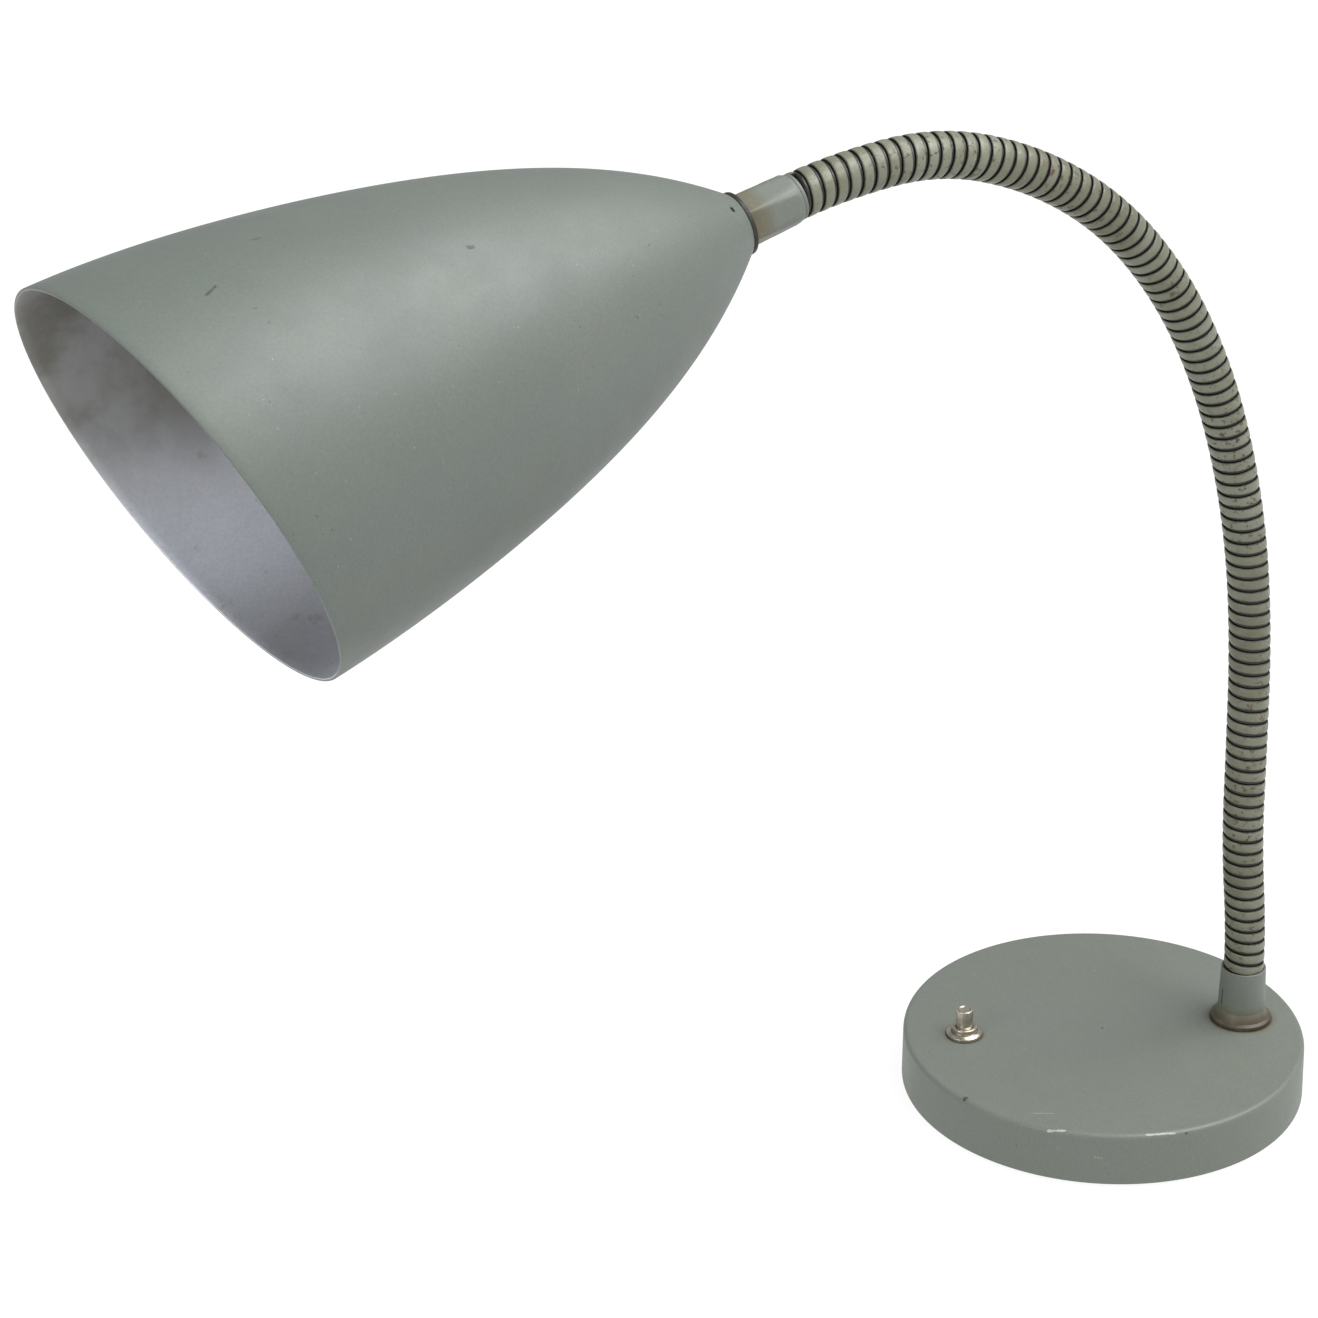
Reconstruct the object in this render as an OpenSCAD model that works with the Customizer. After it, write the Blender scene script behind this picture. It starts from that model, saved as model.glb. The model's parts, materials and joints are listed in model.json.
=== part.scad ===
// Gooseneck desk lamp: a weighted round base with a push-button switch, a flexible
// ribbed neck and a spun bullet-shaped shade with a slanting mouth.
// Millimetres, +Z up, origin at the middle of the underside. +X runs from the switch
// to the foot of the neck. The neck is a chain of straight ribbed sections, each
// several turns long, hinged end to end, so that it can be bent and curled.

/* [Base] */
// Diameter of the base at its lower edge
base_d = 151.6; // [130:0.2:180]
// Height of the base, felt pad included
base_h = 21.3; // [21.3:0.1:26]
// How much narrower the base is at the top edge
base_draft = 0.4; // [0:0.1:2]
// Radius of the base's top edge
base_edge_r = 2; // [1:0.25:4]
// Thickness of the base's pressed steel shell
shell_wall = 1.6; // [1.2:0.1:2]
// Thickness of the felt pad
pad_t = 1.0; // [0.8:0.1:1.5]
// Thickness of the cast-iron weight
weight_t = 10.6; // [8:0.2:10.6]
// Distance of the switch from the middle of the base
switch_x = 52.7; // [45:0.1:56]
// Offset of the switch to the side
switch_y = 2.6; // [-3:0.1:3]
// Distance of the neck from the middle of the base
neck_x = 53.9; // [45:0.1:56]
// Offset of the neck to the side
neck_y = 1.2; // [-3:0.1:3]

/* [Neck] */
// Outside diameter of the flexible neck
neck_d = 15.1; // [12:0.1:15.4]
// Bore of the flexible neck
neck_bore_d = 8.8; // [8.2:0.1:9.4]
// Distance from one turn of the neck to the next
pitch = 4.88; // [4.5:0.01:5.2]
// Turns in each hinged section
section_turns = 8; // [8:1:8]
// Turns in the fixed stub at each end of the neck
stub_turns = 3; // [3:1:3]
// Direction in which the neck leans, about the vertical
neck_turn = 205.6; // [180:0.2:230]
// Angle of the head from straight up
head_angle = 103.8; // [90:0.1:120]
// Diameter of the lamp lead
lead_d = 4.8; // [4:0.1:5]

/* [Shade] */
// Length of the outline that the shade is cut from
shade_len = 236; // [230:1:250]
// Where the slanting mouth crosses the shade's axis
mouth_at = 192.2; // [188:0.1:196]
// Slant of the mouth from square
mouth_tilt = 12.7; // [0:0.1:14]
// Direction of the slant about the shade's axis
mouth_roll = 20.9; // [0:0.1:360]
// Thickness of the shade
shade_wall = 1; // [0.8:0.1:1.2]
// Angle of the small hole near the shade's neck
vent_angle = 135; // [0:5:355]

/* [Switch] */
// How far the button stands above the base
button_h = 11; // [8:0.25:12]
// Travel of the button
button_travel = 3; // [2:0.5:3]

/* [Hidden] */
$fn = 96;

// Small allowances
gap = 0.05;            // radial play of one part in another
eps = 0.01;            // overshoot of a cut

// Base, worked out
base_r = base_d / 2;
top_z = base_h;
ceiling_z = top_z - shell_wall;
inner_r = base_r - base_draft - shell_wall;
plate_t = 1.4;
plate_z = pad_t;
plate_r = inner_r - 0.8;
weight_r = inner_r - 0.4;
weight_z = ceiling_z - 0.2 - weight_t;
post_r = 6;
post_ring_r = 60;
post_angles = [30, 150, 270];
screw_r = 2;
screw_head_r = 3.8;
screw_head_h = 1.2;
screw_len = 9;

// Mains inlet at the back
inlet_z = 6.8;
inlet_r = 4;
inlet_flange_r = 5.2;
inlet_bore_r = 2.6;
inlet_notch = [16, 14];

// Threaded tube size shared by the neck, the shade and the switch
tube_r = 5;
tube_bore_r = 3.3;
nut_flats_r = 8.6;
nut_t = 3.6;
washer_r = 9.6;
washer_t = 1.2;

// Foot of the neck
foot_flange_r = 11.4;
foot_flange_t = 1.7;
foot_flare_z = 5.2;
foot_low_r = 8.8;
foot_top_r = 8.35;
foot_len = 22.4;
foot_seat = 8;
foot_slit = [0.7, 6.2];
foot_slit_z = 7.8;
foot_slit_angle = 195;
neck_z0 = top_z + foot_len;

// Neck
neck_r = neck_d / 2;
groove_depth = 0.8;
band_start = 0.14;     // share of the pitch at which a band begins
band_end = 0.86;       // share of the pitch at which it ends
section_end_gap = 2.2; // room left at each end of a section for the bend
ball_r = 6;            // each section's lower end is a ball in the cup of the one below
ball_cut = -3.2;       // the ball is cut off here, measured from its middle
lead_end_gap = 6.2;    // room above each lead for the ball's lower edge
sections = 11;
// Angle of each length of the neck from straight up: the root stub, the sections, the head
heading = [0, 7, 1, 1.5, 6, 13, 20.5, 30.5, 43, 58.5, 73, 94.5, head_angle];

// Head, measured along the shade's axis from the end of the neck
ferrule_len = 20.8;
ferrule_flats_r = 9;
ferrule_slim_r = 8.2;   // where the hexagon's corners are turned down at the neck end
ferrule_turn = 5;
ferrule_collar_r = 7.5;
ferrule_collar_t = 1.3;
ferrule_chamfer_t = 1.6;
ferrule_spigot_len = 10;
shade_washer_t = 1.5;
shade_washer_r = 10.2;
shade_at = ferrule_len + shade_washer_t;

// Shade outline: radii of the control points of a curve from the small end to the mouth
shade_ctrl = [10, 48, 54.1, 65.3, 72.4, 67];
shade_steps = 36;
shade_cut_len = 216;
shade_hole_r = tube_r + gap;
vent_at = 5;
vent_r = 1;

// Lampholder and bulb, measured along the axis from the shade's small end
cap_at = 4.8;
cap_r = 18.5;
cap_shoulder_r = 9;
cap_end = 17;
cap_wall = 1.6;
holder_end = 50;
holder_floor_t = 4;
holder_wall = 4;
thread_r = 13.2;
thread_wall = 0.7;
contact_r = 4;
contact_t = 2;
bulb_cap_r = 13;
bulb_cap_len = 26;
bulb_neck_r = 13.8;
bulb_r = 30;
bulb_len = 84;
bulb_wall = 1;

// Switch, worked out
button_r = 3.2;
button_flange_r = 4.6;
button_flange_t = 1.2;
bushing_top = top_z + 4;
bushing_low = 12;
bushing_shoulder_r = 7.5;
switch_nut_r = 6.8;
switch_nut_t = 2.2;
switch_box = [17, 13];
switch_floor_z = 3;
switch_wall = 1.2;
switch_well_r = 5;
spring_low = switch_floor_z + switch_wall + 0.2;
spring_top = bushing_low - 0.2 - button_flange_t - 0.1;
spring_r = 4.2;
spring_wire = 0.8;
spring_turns = 4;
tab = [4, 0.8, 4];
terminal_y = switch_box.y / 2 + tab.y + lead_d / 2 + 0.1;
lead_floor_z = 5.6;

// The curve of the shade's outline: its radius at distance s from the small end
function choose(n, k) = k == 0 ? 1 : choose(n, k - 1) * (n - k + 1) / k;
function curve(c, t, k = 0) =
    k == len(c) ? 0
    : c[k] * choose(len(c) - 1, k) * pow(t, k) * pow(1 - t, len(c) - 1 - k) + curve(c, t, k + 1);
function shade_r(s) = curve(shade_ctrl, s / shade_len);

// Where length number i of the neck begins, as [distance out, height]
function length_turns(i) = (i == 0 || i == sections + 1) ? stub_turns : section_turns;
function length_start(i) =
    i == 0 ? [0, neck_z0]
    : length_start(i - 1)
      + length_turns(i - 1) * pitch * [sin(heading[i - 1]), cos(heading[i - 1])];

// A hollow cylinder from z0 to z1
module ring(r, bore_r, z0, z1) {
    difference() {
        translate([0, 0, z0]) cylinder(r = r, h = z1 - z0);
        translate([0, 0, z0 - 1]) cylinder(r = bore_r, h = z1 - z0 + 2);
    }
}

// A hexagonal nut from z0 to z1
module nut(flats_r, bore_r, z0, z1) {
    difference() {
        translate([0, 0, z0]) cylinder(r = flats_r, h = z1 - z0, $fn = 6);
        translate([0, 0, z0 - 1]) cylinder(r = bore_r, h = z1 - z0 + 2);
    }
}

// A round lead through a list of points, bending square to the direction "across"
module lead(points, across) {
    sides = 16;
    last = len(points) - 1;
    way = [for (i = [0 : last - 1]) (points[i + 1] - points[i]) / norm(points[i + 1] - points[i])];
    rings = [
        for (i = [0 : last])
            let (
                into = way[max(i - 1, 0)],
                sum_way = into + way[min(i, last - 1)],
                along = sum_way / norm(sum_way),
                out = cross(along, across) / norm(cross(along, across)),
                up = cross(out, along)
            )
            for (k = [0 : sides - 1])
                points[i]
                + lead_d / 2 * (out * cos(k * 360 / sides) / (along * into) + up * sin(k * 360 / sides))
    ];
    polyhedron(
        rings,
        concat(
            [[for (k = [0 : sides - 1]) k]],
            [for (i = [0 : last - 1]) for (k = [0 : sides - 1])
                let (a = i * sides, n = (k + 1) % sides)
                    [a + k, a + sides + k, a + sides + n, a + n]],
            [[for (k = [sides - 1 : -1 : 0]) last * sides + k]]
        )
    );
}

// Children drawn along length number i of the neck, with +Z along it
module on_neck(i) {
    at = length_start(i);
    translate([neck_x, neck_y, 0])
        rotate([0, 0, neck_turn])
            translate([at.x, 0, at.y])
                rotate([0, heading[i], 0]) children();
}

// Children drawn on the shade's axis, with z = 0 at its small end
module on_shade() {
    on_neck(sections + 1)
        translate([0, 0, stub_turns * pitch + shade_at]) children();
}

// A ribbed tube of whole turns, from z0, cut off square at cut0 and cut1
module ribbed_tube(turns, z0, cut0, cut1) {
    outline = [
        for (i = [0 : turns - 1])
            for (p = [
                [neck_r - groove_depth, i * pitch + z0],
                [neck_r, (i + band_start) * pitch + z0],
                [neck_r, (i + band_end) * pitch + z0]
            ]) p
    ];
    end_z = turns * pitch + z0;
    intersection() {
        rotate_extrude()
            polygon(concat(
                outline,
                [[neck_r - groove_depth, end_z], [neck_bore_d / 2, end_z], [neck_bore_d / 2, z0]]
            ));
        translate([0, 0, cut0]) cylinder(r = neck_r + 1, h = cut1 - cut0);
    }
}

// The ball at the lower end of a section, and the cup at an upper end
module ball() {
    intersection() {
        sphere(r = ball_r);
        translate([0, 0, ball_cut]) cylinder(r = neck_r - 0.5, h = section_end_gap + 1 - ball_cut);
    }
}

module base_shell() {
    color([0.50, 0.53, 0.50])
    difference() {
        rotate_extrude() {
            difference() {
                union() {
                    polygon([
                        [0, pad_t], [base_r, pad_t],
                        [base_r - base_draft, top_z - base_edge_r], [0, top_z - base_edge_r]
                    ]);
                    square([base_r - base_draft - base_edge_r, top_z]);
                    translate([base_r - base_draft - base_edge_r, top_z - base_edge_r])
                        intersection() {
                            circle(r = base_edge_r);
                            square(base_edge_r + 1);
                        }
                }
                translate([0, -1]) square([inner_r, ceiling_z + 1]);
                translate([-1, -1]) square([base_r + 2, pad_t + 1]);
            }
        }
        translate([neck_x, neck_y, ceiling_z - 1]) cylinder(r = tube_r + gap, h = shell_wall + 2);
        translate([-switch_x, switch_y, ceiling_z - 1])
            cylinder(r = tube_r + gap, h = shell_wall + 2);
        translate([0, inner_r - 2, inlet_z])
            rotate([-90, 0, 0]) cylinder(r = inlet_r + gap, h = shell_wall + 5);
    }
}

module base_weight() {
    color([0.25, 0.25, 0.26])
    difference() {
        union() {
            translate([0, 0, weight_z]) cylinder(r = weight_r, h = weight_t);
            for (a = post_angles)
                rotate([0, 0, a])
                    translate([post_ring_r, 0, plate_z + plate_t])
                        cylinder(r = post_r, h = weight_z - plate_z - plate_t + 1);
        }
        translate([neck_x, neck_y, 0]) cylinder(r = foot_flange_r + 1.5, h = base_h);
        translate([-switch_x, switch_y, 0]) cylinder(r = foot_flange_r + 1.5, h = base_h);
        translate([-inlet_notch.x / 2, weight_r - inlet_notch.y, 0])
            cube([inlet_notch.x, inlet_notch.y + 1, base_h]);
        for (a = post_angles)
            rotate([0, 0, a])
                translate([post_ring_r, 0, 0]) cylinder(r = screw_r + gap, h = pad_t + screw_len + 1);
    }
}

module bottom_plate() {
    color([0.55, 0.55, 0.57])
    difference() {
        translate([0, 0, plate_z]) cylinder(r = plate_r, h = plate_t);
        for (a = post_angles)
            rotate([0, 0, a]) translate([post_ring_r, 0, plate_z]) {
                translate([0, 0, -1]) cylinder(r = screw_r + gap, h = plate_t + 2);
                translate([0, 0, -eps]) cylinder(r = screw_head_r + gap, h = screw_head_h);
            }
    }
}

module felt_pad() {
    color([0.12, 0.13, 0.12]) cylinder(r = plate_r, h = pad_t);
}

module bottom_screws() {
    color([0.7, 0.7, 0.68])
    for (a = post_angles)
        rotate([0, 0, a]) translate([post_ring_r, 0, plate_z]) {
            cylinder(r = screw_head_r, h = screw_head_h - 0.1);
            cylinder(r = screw_r, h = screw_len);
        }
}

module inlet_grommet() {
    color([0.1, 0.1, 0.1])
    translate([0, 0, inlet_z])
        rotate([-90, 0, 0])
            difference() {
                union() {
                    translate([0, 0, inner_r - 3]) cylinder(r = inlet_r, h = shell_wall + 4.4);
                    translate([0, 0, inner_r - 3]) cylinder(r = inlet_r + 0.4, h = 2);
                }
                translate([0, 0, inner_r - 4]) cylinder(r = inlet_bore_r, h = 20);
            }
}

module switch_body() {
    color([0.15, 0.12, 0.1])
    translate([-switch_x, switch_y, 0])
        difference() {
            translate([-switch_box.x / 2, -switch_box.y / 2, switch_floor_z])
                cube([switch_box.x, switch_box.y, bushing_low - switch_floor_z]);
            translate([0, 0, switch_floor_z + switch_wall])
                cylinder(r = switch_well_r, h = base_h);
        }
}

module switch_bushing() {
    color([0.7, 0.68, 0.62])
    translate([-switch_x, switch_y, 0])
        difference() {
            union() {
                translate([0, 0, bushing_low])
                    cylinder(r = tube_r, h = bushing_top - bushing_low);
                translate([0, 0, bushing_low])
                    cylinder(r = bushing_shoulder_r - 1, h = 1.4);
                translate([0, 0, ceiling_z - 2]) cylinder(r = bushing_shoulder_r, h = 2);
            }
            translate([0, 0, bushing_low - 1]) cylinder(r = button_r + gap, h = base_h);
        }
}

module switch_nut() {
    color([0.72, 0.70, 0.64])
    translate([-switch_x, switch_y, 0])
        rotate_extrude()
            polygon([
                [tube_r + gap, top_z], [switch_nut_r, top_z],
                [switch_nut_r, top_z + switch_nut_t - 0.5],
                [switch_nut_r - 0.5, top_z + switch_nut_t],
                [tube_r + gap, top_z + switch_nut_t]
            ]);
}

module switch_plunger() {
    edge = 0.8;
    flange_z = bushing_low - 0.2 - button_flange_t;
    button_top = top_z + button_h;
    color([0.75, 0.72, 0.66])
    translate([-switch_x, switch_y, 0])
        rotate_extrude()
            polygon([
                [0, flange_z], [button_flange_r, flange_z],
                [button_flange_r, flange_z + button_flange_t],
                [button_r, flange_z + button_flange_t], [button_r, button_top - edge],
                [button_r - 0.25, button_top - 0.25], [button_r - edge, button_top],
                [0, button_top]
            ]);
}

module switch_spring() {
    height = spring_top - spring_low;
    turn = height / spring_turns;
    color([0.6, 0.6, 0.6])
    translate([-switch_x, switch_y, spring_low])
        rotate_extrude()
            polygon(concat(
                [for (i = [0 : spring_turns - 1])
                    for (p = [[spring_r - 0.3, i * turn], [spring_r, (i + 0.5) * turn]]) p],
                [[spring_r - 0.3, height], [spring_r - spring_wire, height]],
                [[spring_r - spring_wire, 0]]
            ));
}

module switch_terminals() {
    color([0.75, 0.6, 0.3])
    for (side = [-1, 1])
        translate([
            -switch_x - tab.x / 2, switch_y + side * (switch_box.y + tab.y) / 2 - tab.y / 2, 4
        ])
            cube(tab);
}

module inlet_lead() {
    color([0.2, 0.2, 0.2])
    lead(
        [
            [0, inner_r + 2, inlet_z], [0, inner_r - 4, inlet_z], [0, inner_r - 12, lead_floor_z],
            [-8, 42, lead_floor_z], [-38, switch_y + terminal_y + 6, lead_floor_z],
            [-switch_x, switch_y + terminal_y, lead_floor_z]
        ],
        [0, 0, 1]
    );
}

module base_lead() {
    color([0.2, 0.2, 0.2])
    lead(
        [
            [-switch_x, switch_y - terminal_y, lead_floor_z], [34 - neck_x, -6, lead_floor_z],
            [neck_x - 18, -3, lead_floor_z], [neck_x, neck_y, lead_floor_z],
            [neck_x, neck_y, neck_z0 + stub_turns * pitch - lead_end_gap]
        ],
        [0, 1, 0]
    );
}

module lower_ferrule() {
    color([0.50, 0.53, 0.50])
    translate([neck_x, neck_y, top_z])
        difference() {
            rotate_extrude()
                polygon([
                    [tube_r + gap, 0], [foot_flange_r, 0], [foot_flange_r, foot_flange_t - 0.5],
                    [foot_flange_r - 0.5, foot_flange_t], [foot_low_r + 0.9, foot_flange_t + 0.5],
                    [foot_low_r + 0.2, foot_flare_z - 1], [foot_low_r, foot_flare_z],
                    [foot_top_r, foot_len - 0.3], [foot_top_r - 0.3, foot_len],
                    [neck_r + gap, foot_len], [neck_r + gap, foot_len - foot_seat],
                    [tube_r + gap, foot_len - foot_seat]
                ]);
            rotate([0, 0, foot_slit_angle])
                translate([neck_r - 1.5, -foot_slit.x / 2, foot_slit_z])
                    cube([5, foot_slit.x, foot_slit.y]);
        }
}

module lower_nipple() {
    color([0.7, 0.6, 0.35])
    translate([neck_x, neck_y, 0])
        ring(tube_r, tube_bore_r, ceiling_z - washer_t - nut_t - 1, top_z + foot_len - foot_seat - 0.5);
}

module lower_washer() {
    color([0.7, 0.7, 0.7])
    translate([neck_x, neck_y, 0]) ring(washer_r, tube_r + gap, ceiling_z - washer_t, ceiling_z);
}

module lower_locknut() {
    color([0.7, 0.6, 0.35])
    translate([neck_x, neck_y, 0])
        nut(nut_flats_r, tube_r + gap, ceiling_z - washer_t - nut_t, ceiling_z - washer_t);
}

module neck_root_coil() {
    seat_turns = 1;
    end_z = stub_turns * pitch;
    color([0.45, 0.46, 0.40])
    on_neck(0)
        difference() {
            ribbed_tube(
                stub_turns + 2 * seat_turns, -2 * seat_turns * pitch,
                0.2 - foot_seat, end_z - section_end_gap
            );
            translate([0, 0, end_z]) sphere(r = ball_r + gap);
        }
}

module neck_coil(i) {
    end_z = section_turns * pitch;
    color([0.45, 0.46, 0.40])
    on_neck(i)
        difference() {
            union() {
                ribbed_tube(section_turns, 0, section_end_gap, end_z - section_end_gap);
                ball();
            }
            translate([0, 0, ball_cut - 1])
                cylinder(d = neck_bore_d, h = end_z - ball_cut);
            translate([0, 0, end_z]) sphere(r = ball_r + gap);
        }
}

module neck_lead(i) {
    color([0.2, 0.2, 0.2])
    on_neck(i)
        translate([0, 0, section_end_gap])
            cylinder(d = lead_d, h = section_turns * pitch - section_end_gap - lead_end_gap);
}

module neck_head_coil() {
    color([0.45, 0.46, 0.40])
    on_neck(sections + 1)
        difference() {
            union() {
                ribbed_tube(stub_turns, 0, section_end_gap, stub_turns * pitch);
                ball();
            }
            translate([0, 0, ball_cut - 1]) cylinder(d = neck_bore_d, h = stub_turns * pitch);
        }
}

module upper_ferrule() {
    chamfer_z = ferrule_collar_t + ferrule_chamfer_t;
    color([0.50, 0.53, 0.50])
    on_shade()
        translate([0, 0, -shade_at])
            difference() {
                union() {
                    cylinder(r = ferrule_collar_r, h = ferrule_collar_t);
                    intersection() {
                        translate([0, 0, ferrule_collar_t])
                            rotate([0, 0, ferrule_turn])
                                cylinder(
                                    r = ferrule_flats_r, h = ferrule_len - ferrule_collar_t, $fn = 6
                                );
                        rotate_extrude()
                            polygon([
                                [0, 0], [ferrule_collar_r, ferrule_collar_t],
                                [ferrule_slim_r, chamfer_z],
                                [ferrule_flats_r + 0.1, ferrule_len], [0, ferrule_len]
                            ]);
                    }
                    translate([0, 0, -ferrule_spigot_len])
                        cylinder(r = neck_bore_d / 2 - gap, h = ferrule_spigot_len + 1);
                }
                translate([0, 0, -ferrule_spigot_len - 1])
                    cylinder(r = lead_d / 2 + 2 * gap, h = ferrule_len + ferrule_spigot_len + 2);
                translate([0, 0, ferrule_len / 2 - 2])
                    cylinder(r = tube_r + gap, h = ferrule_len);
            }
}

module shade_washer() {
    color([0.2, 0.19, 0.17])
    on_shade() ring(shade_washer_r, tube_r + gap, -shade_washer_t, 0);
}

module shade() {
    reach = 2 * shade_len;
    step = shade_cut_len / shade_steps;
    color([0.52, 0.55, 0.53])
    on_shade()
        difference() {
            rotate_extrude()
                polygon(concat(
                    [for (i = [0 : shade_steps]) [shade_r(i * step), i * step]],
                    [for (i = [shade_steps : -1 : 1])
                        [shade_r(i * step) - 1.15 * shade_wall, i * step]],
                    [[shade_r(shade_wall) - 1.6 * shade_wall, shade_wall]],
                    [[shade_hole_r, shade_wall], [shade_hole_r, 0]]
                ));
            translate([0, 0, mouth_at])
                rotate([0, mouth_tilt, mouth_roll])
                    translate([-reach / 2, -reach / 2, 0]) cube(reach);
            translate([0, 0, vent_at + shade_r(vent_at)])
                rotate([0, 135, vent_angle]) cylinder(r = vent_r, h = 40);
        }
}

module shade_nipple() {
    color([0.7, 0.6, 0.35])
    on_shade()
        ring(tube_r, tube_bore_r, ferrule_len / 2 - 1.5 - shade_at, cap_at + 3.2);
}

module shade_locknut() {
    color([0.7, 0.6, 0.35])
    on_shade() nut(nut_flats_r - 0.6, tube_r + gap, shade_wall, shade_wall + 3.2);
}

module lampholder_cap() {
    color([0.13, 0.11, 0.1])
    on_shade()
        rotate_extrude()
            polygon([
                [tube_r + gap, cap_at], [cap_shoulder_r, cap_at],
                [cap_r - 2.5, cap_end - 6], [cap_r, cap_end - 2], [cap_r, cap_end],
                [cap_r - cap_wall, cap_end], [cap_r - cap_wall, cap_end - 1.5],
                [cap_r - 4.4, cap_end - 5], [cap_shoulder_r - 1, cap_at + 2.2],
                [tube_r + gap, cap_at + 2.2]
            ]);
}

module lampholder_body() {
    color([0.13, 0.11, 0.1])
    on_shade()
        difference() {
            translate([0, 0, cap_end]) cylinder(r = cap_r, h = holder_end - cap_end);
            translate([0, 0, cap_end + holder_floor_t])
                cylinder(r = cap_r - holder_wall, h = holder_end);
            for (side = [-1, 1])
                translate([side * (contact_r + 4), 0, cap_end - 1])
                    cylinder(r = 1.5, h = holder_floor_t + 2);
        }
}

module lampholder_thread() {
    color([0.75, 0.6, 0.3])
    on_shade()
        ring(thread_r + thread_wall, thread_r, cap_end + holder_floor_t, holder_end - 3);
}

module lampholder_contact() {
    color([0.75, 0.6, 0.3])
    on_shade()
        translate([0, 0, cap_end + holder_floor_t]) cylinder(r = contact_r, h = contact_t);
}

module bulb_cap() {
    color([0.75, 0.72, 0.6])
    on_shade()
        translate([0, 0, cap_end + holder_floor_t + contact_t])
            rotate_extrude()
                polygon([
                    [0, 0], [3, 0], [4, 1.2], [10, 2.5], [bulb_cap_r, 5],
                    [bulb_cap_r, bulb_cap_len], [0, bulb_cap_len]
                ]);
}

module bulb_glass() {
    base_z = cap_end + holder_floor_t + contact_t + bulb_cap_len;
    crown_z = base_z + bulb_len - bulb_r;
    color([0.95, 0.95, 0.93])
    on_shade()
        difference() {
            union() {
                translate([0, 0, crown_z]) sphere(r = bulb_r);
                translate([0, 0, base_z])
                    cylinder(r1 = bulb_neck_r, r2 = bulb_r * 0.9, h = crown_z - base_z - bulb_r * 0.436);
            }
            translate([0, 0, crown_z]) sphere(r = bulb_r - bulb_wall);
        }
}

module head_lead() {
    color([0.2, 0.2, 0.2])
    on_neck(sections + 1)
        translate([0, 0, section_end_gap])
            cylinder(
                d = lead_d, h = stub_turns * pitch - section_end_gap + shade_at + cap_at + 3
            );
}

base_shell();
base_weight();
bottom_plate();
felt_pad();
bottom_screws();
inlet_grommet();
switch_body();
switch_bushing();
switch_nut();
switch_plunger();
switch_spring();
switch_terminals();
inlet_lead();
base_lead();
lower_ferrule();
lower_nipple();
lower_washer();
lower_locknut();
neck_root_coil();
neck_coil(1);  // neck_coil_01
neck_coil(2);  // neck_coil_02
neck_coil(3);  // neck_coil_03
neck_coil(4);  // neck_coil_04
neck_coil(5);  // neck_coil_05
neck_coil(6);  // neck_coil_06
neck_coil(7);  // neck_coil_07
neck_coil(8);  // neck_coil_08
neck_coil(9);  // neck_coil_09
neck_coil(10);  // neck_coil_10
neck_coil(11);  // neck_coil_11
neck_lead(1);  // neck_lead_01
neck_lead(2);  // neck_lead_02
neck_lead(3);  // neck_lead_03
neck_lead(4);  // neck_lead_04
neck_lead(5);  // neck_lead_05
neck_lead(6);  // neck_lead_06
neck_lead(7);  // neck_lead_07
neck_lead(8);  // neck_lead_08
neck_lead(9);  // neck_lead_09
neck_lead(10);  // neck_lead_10
neck_lead(11);  // neck_lead_11
neck_head_coil();
upper_ferrule();
shade_washer();
shade();
shade_nipple();
shade_locknut();
lampholder_cap();
lampholder_body();
lampholder_thread();
lampholder_contact();
bulb_cap();
bulb_glass();
head_lead();
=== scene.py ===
"""Gooseneck desk lamp: the looks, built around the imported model.

Lengths are metres in the row frame. mm() turns millimetres into metres. Places come from
the frame: the hinges give the line of the neck, and the boxes of the round CAD pieces give
the middles of the base, the foot, the switch and the washer behind the shade.
"""

import json
import math

import bmesh
import bpy
from mathutils import Matrix, Vector

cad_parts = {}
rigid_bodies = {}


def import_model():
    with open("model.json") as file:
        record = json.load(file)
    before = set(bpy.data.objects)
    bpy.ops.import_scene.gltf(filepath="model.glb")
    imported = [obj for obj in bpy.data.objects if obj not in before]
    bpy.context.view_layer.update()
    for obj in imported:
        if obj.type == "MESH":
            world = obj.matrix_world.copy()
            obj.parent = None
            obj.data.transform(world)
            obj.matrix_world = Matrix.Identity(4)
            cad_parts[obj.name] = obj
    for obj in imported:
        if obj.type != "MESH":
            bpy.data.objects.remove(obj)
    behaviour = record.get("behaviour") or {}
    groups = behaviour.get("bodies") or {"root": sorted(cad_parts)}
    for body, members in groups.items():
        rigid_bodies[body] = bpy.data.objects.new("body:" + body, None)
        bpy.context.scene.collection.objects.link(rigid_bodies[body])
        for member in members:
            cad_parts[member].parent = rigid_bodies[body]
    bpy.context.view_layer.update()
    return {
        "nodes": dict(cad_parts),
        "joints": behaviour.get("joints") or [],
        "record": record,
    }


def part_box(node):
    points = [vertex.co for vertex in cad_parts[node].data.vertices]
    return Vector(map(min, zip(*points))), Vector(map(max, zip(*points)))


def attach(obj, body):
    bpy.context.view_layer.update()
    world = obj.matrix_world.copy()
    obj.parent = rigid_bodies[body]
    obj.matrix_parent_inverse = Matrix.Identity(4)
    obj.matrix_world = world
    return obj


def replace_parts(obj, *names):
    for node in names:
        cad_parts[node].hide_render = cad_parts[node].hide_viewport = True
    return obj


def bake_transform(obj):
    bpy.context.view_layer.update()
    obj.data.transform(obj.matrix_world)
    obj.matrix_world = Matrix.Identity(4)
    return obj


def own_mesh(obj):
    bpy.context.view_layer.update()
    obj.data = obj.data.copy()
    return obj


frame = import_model()


def mm(*values):
    """Millimetres as metres: one number, or a tuple of them."""
    scaled = tuple(v / 1000 for v in values)
    return scaled[0] if len(scaled) == 1 else scaled


# ---------------------------------------------------------------- sizes

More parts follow.
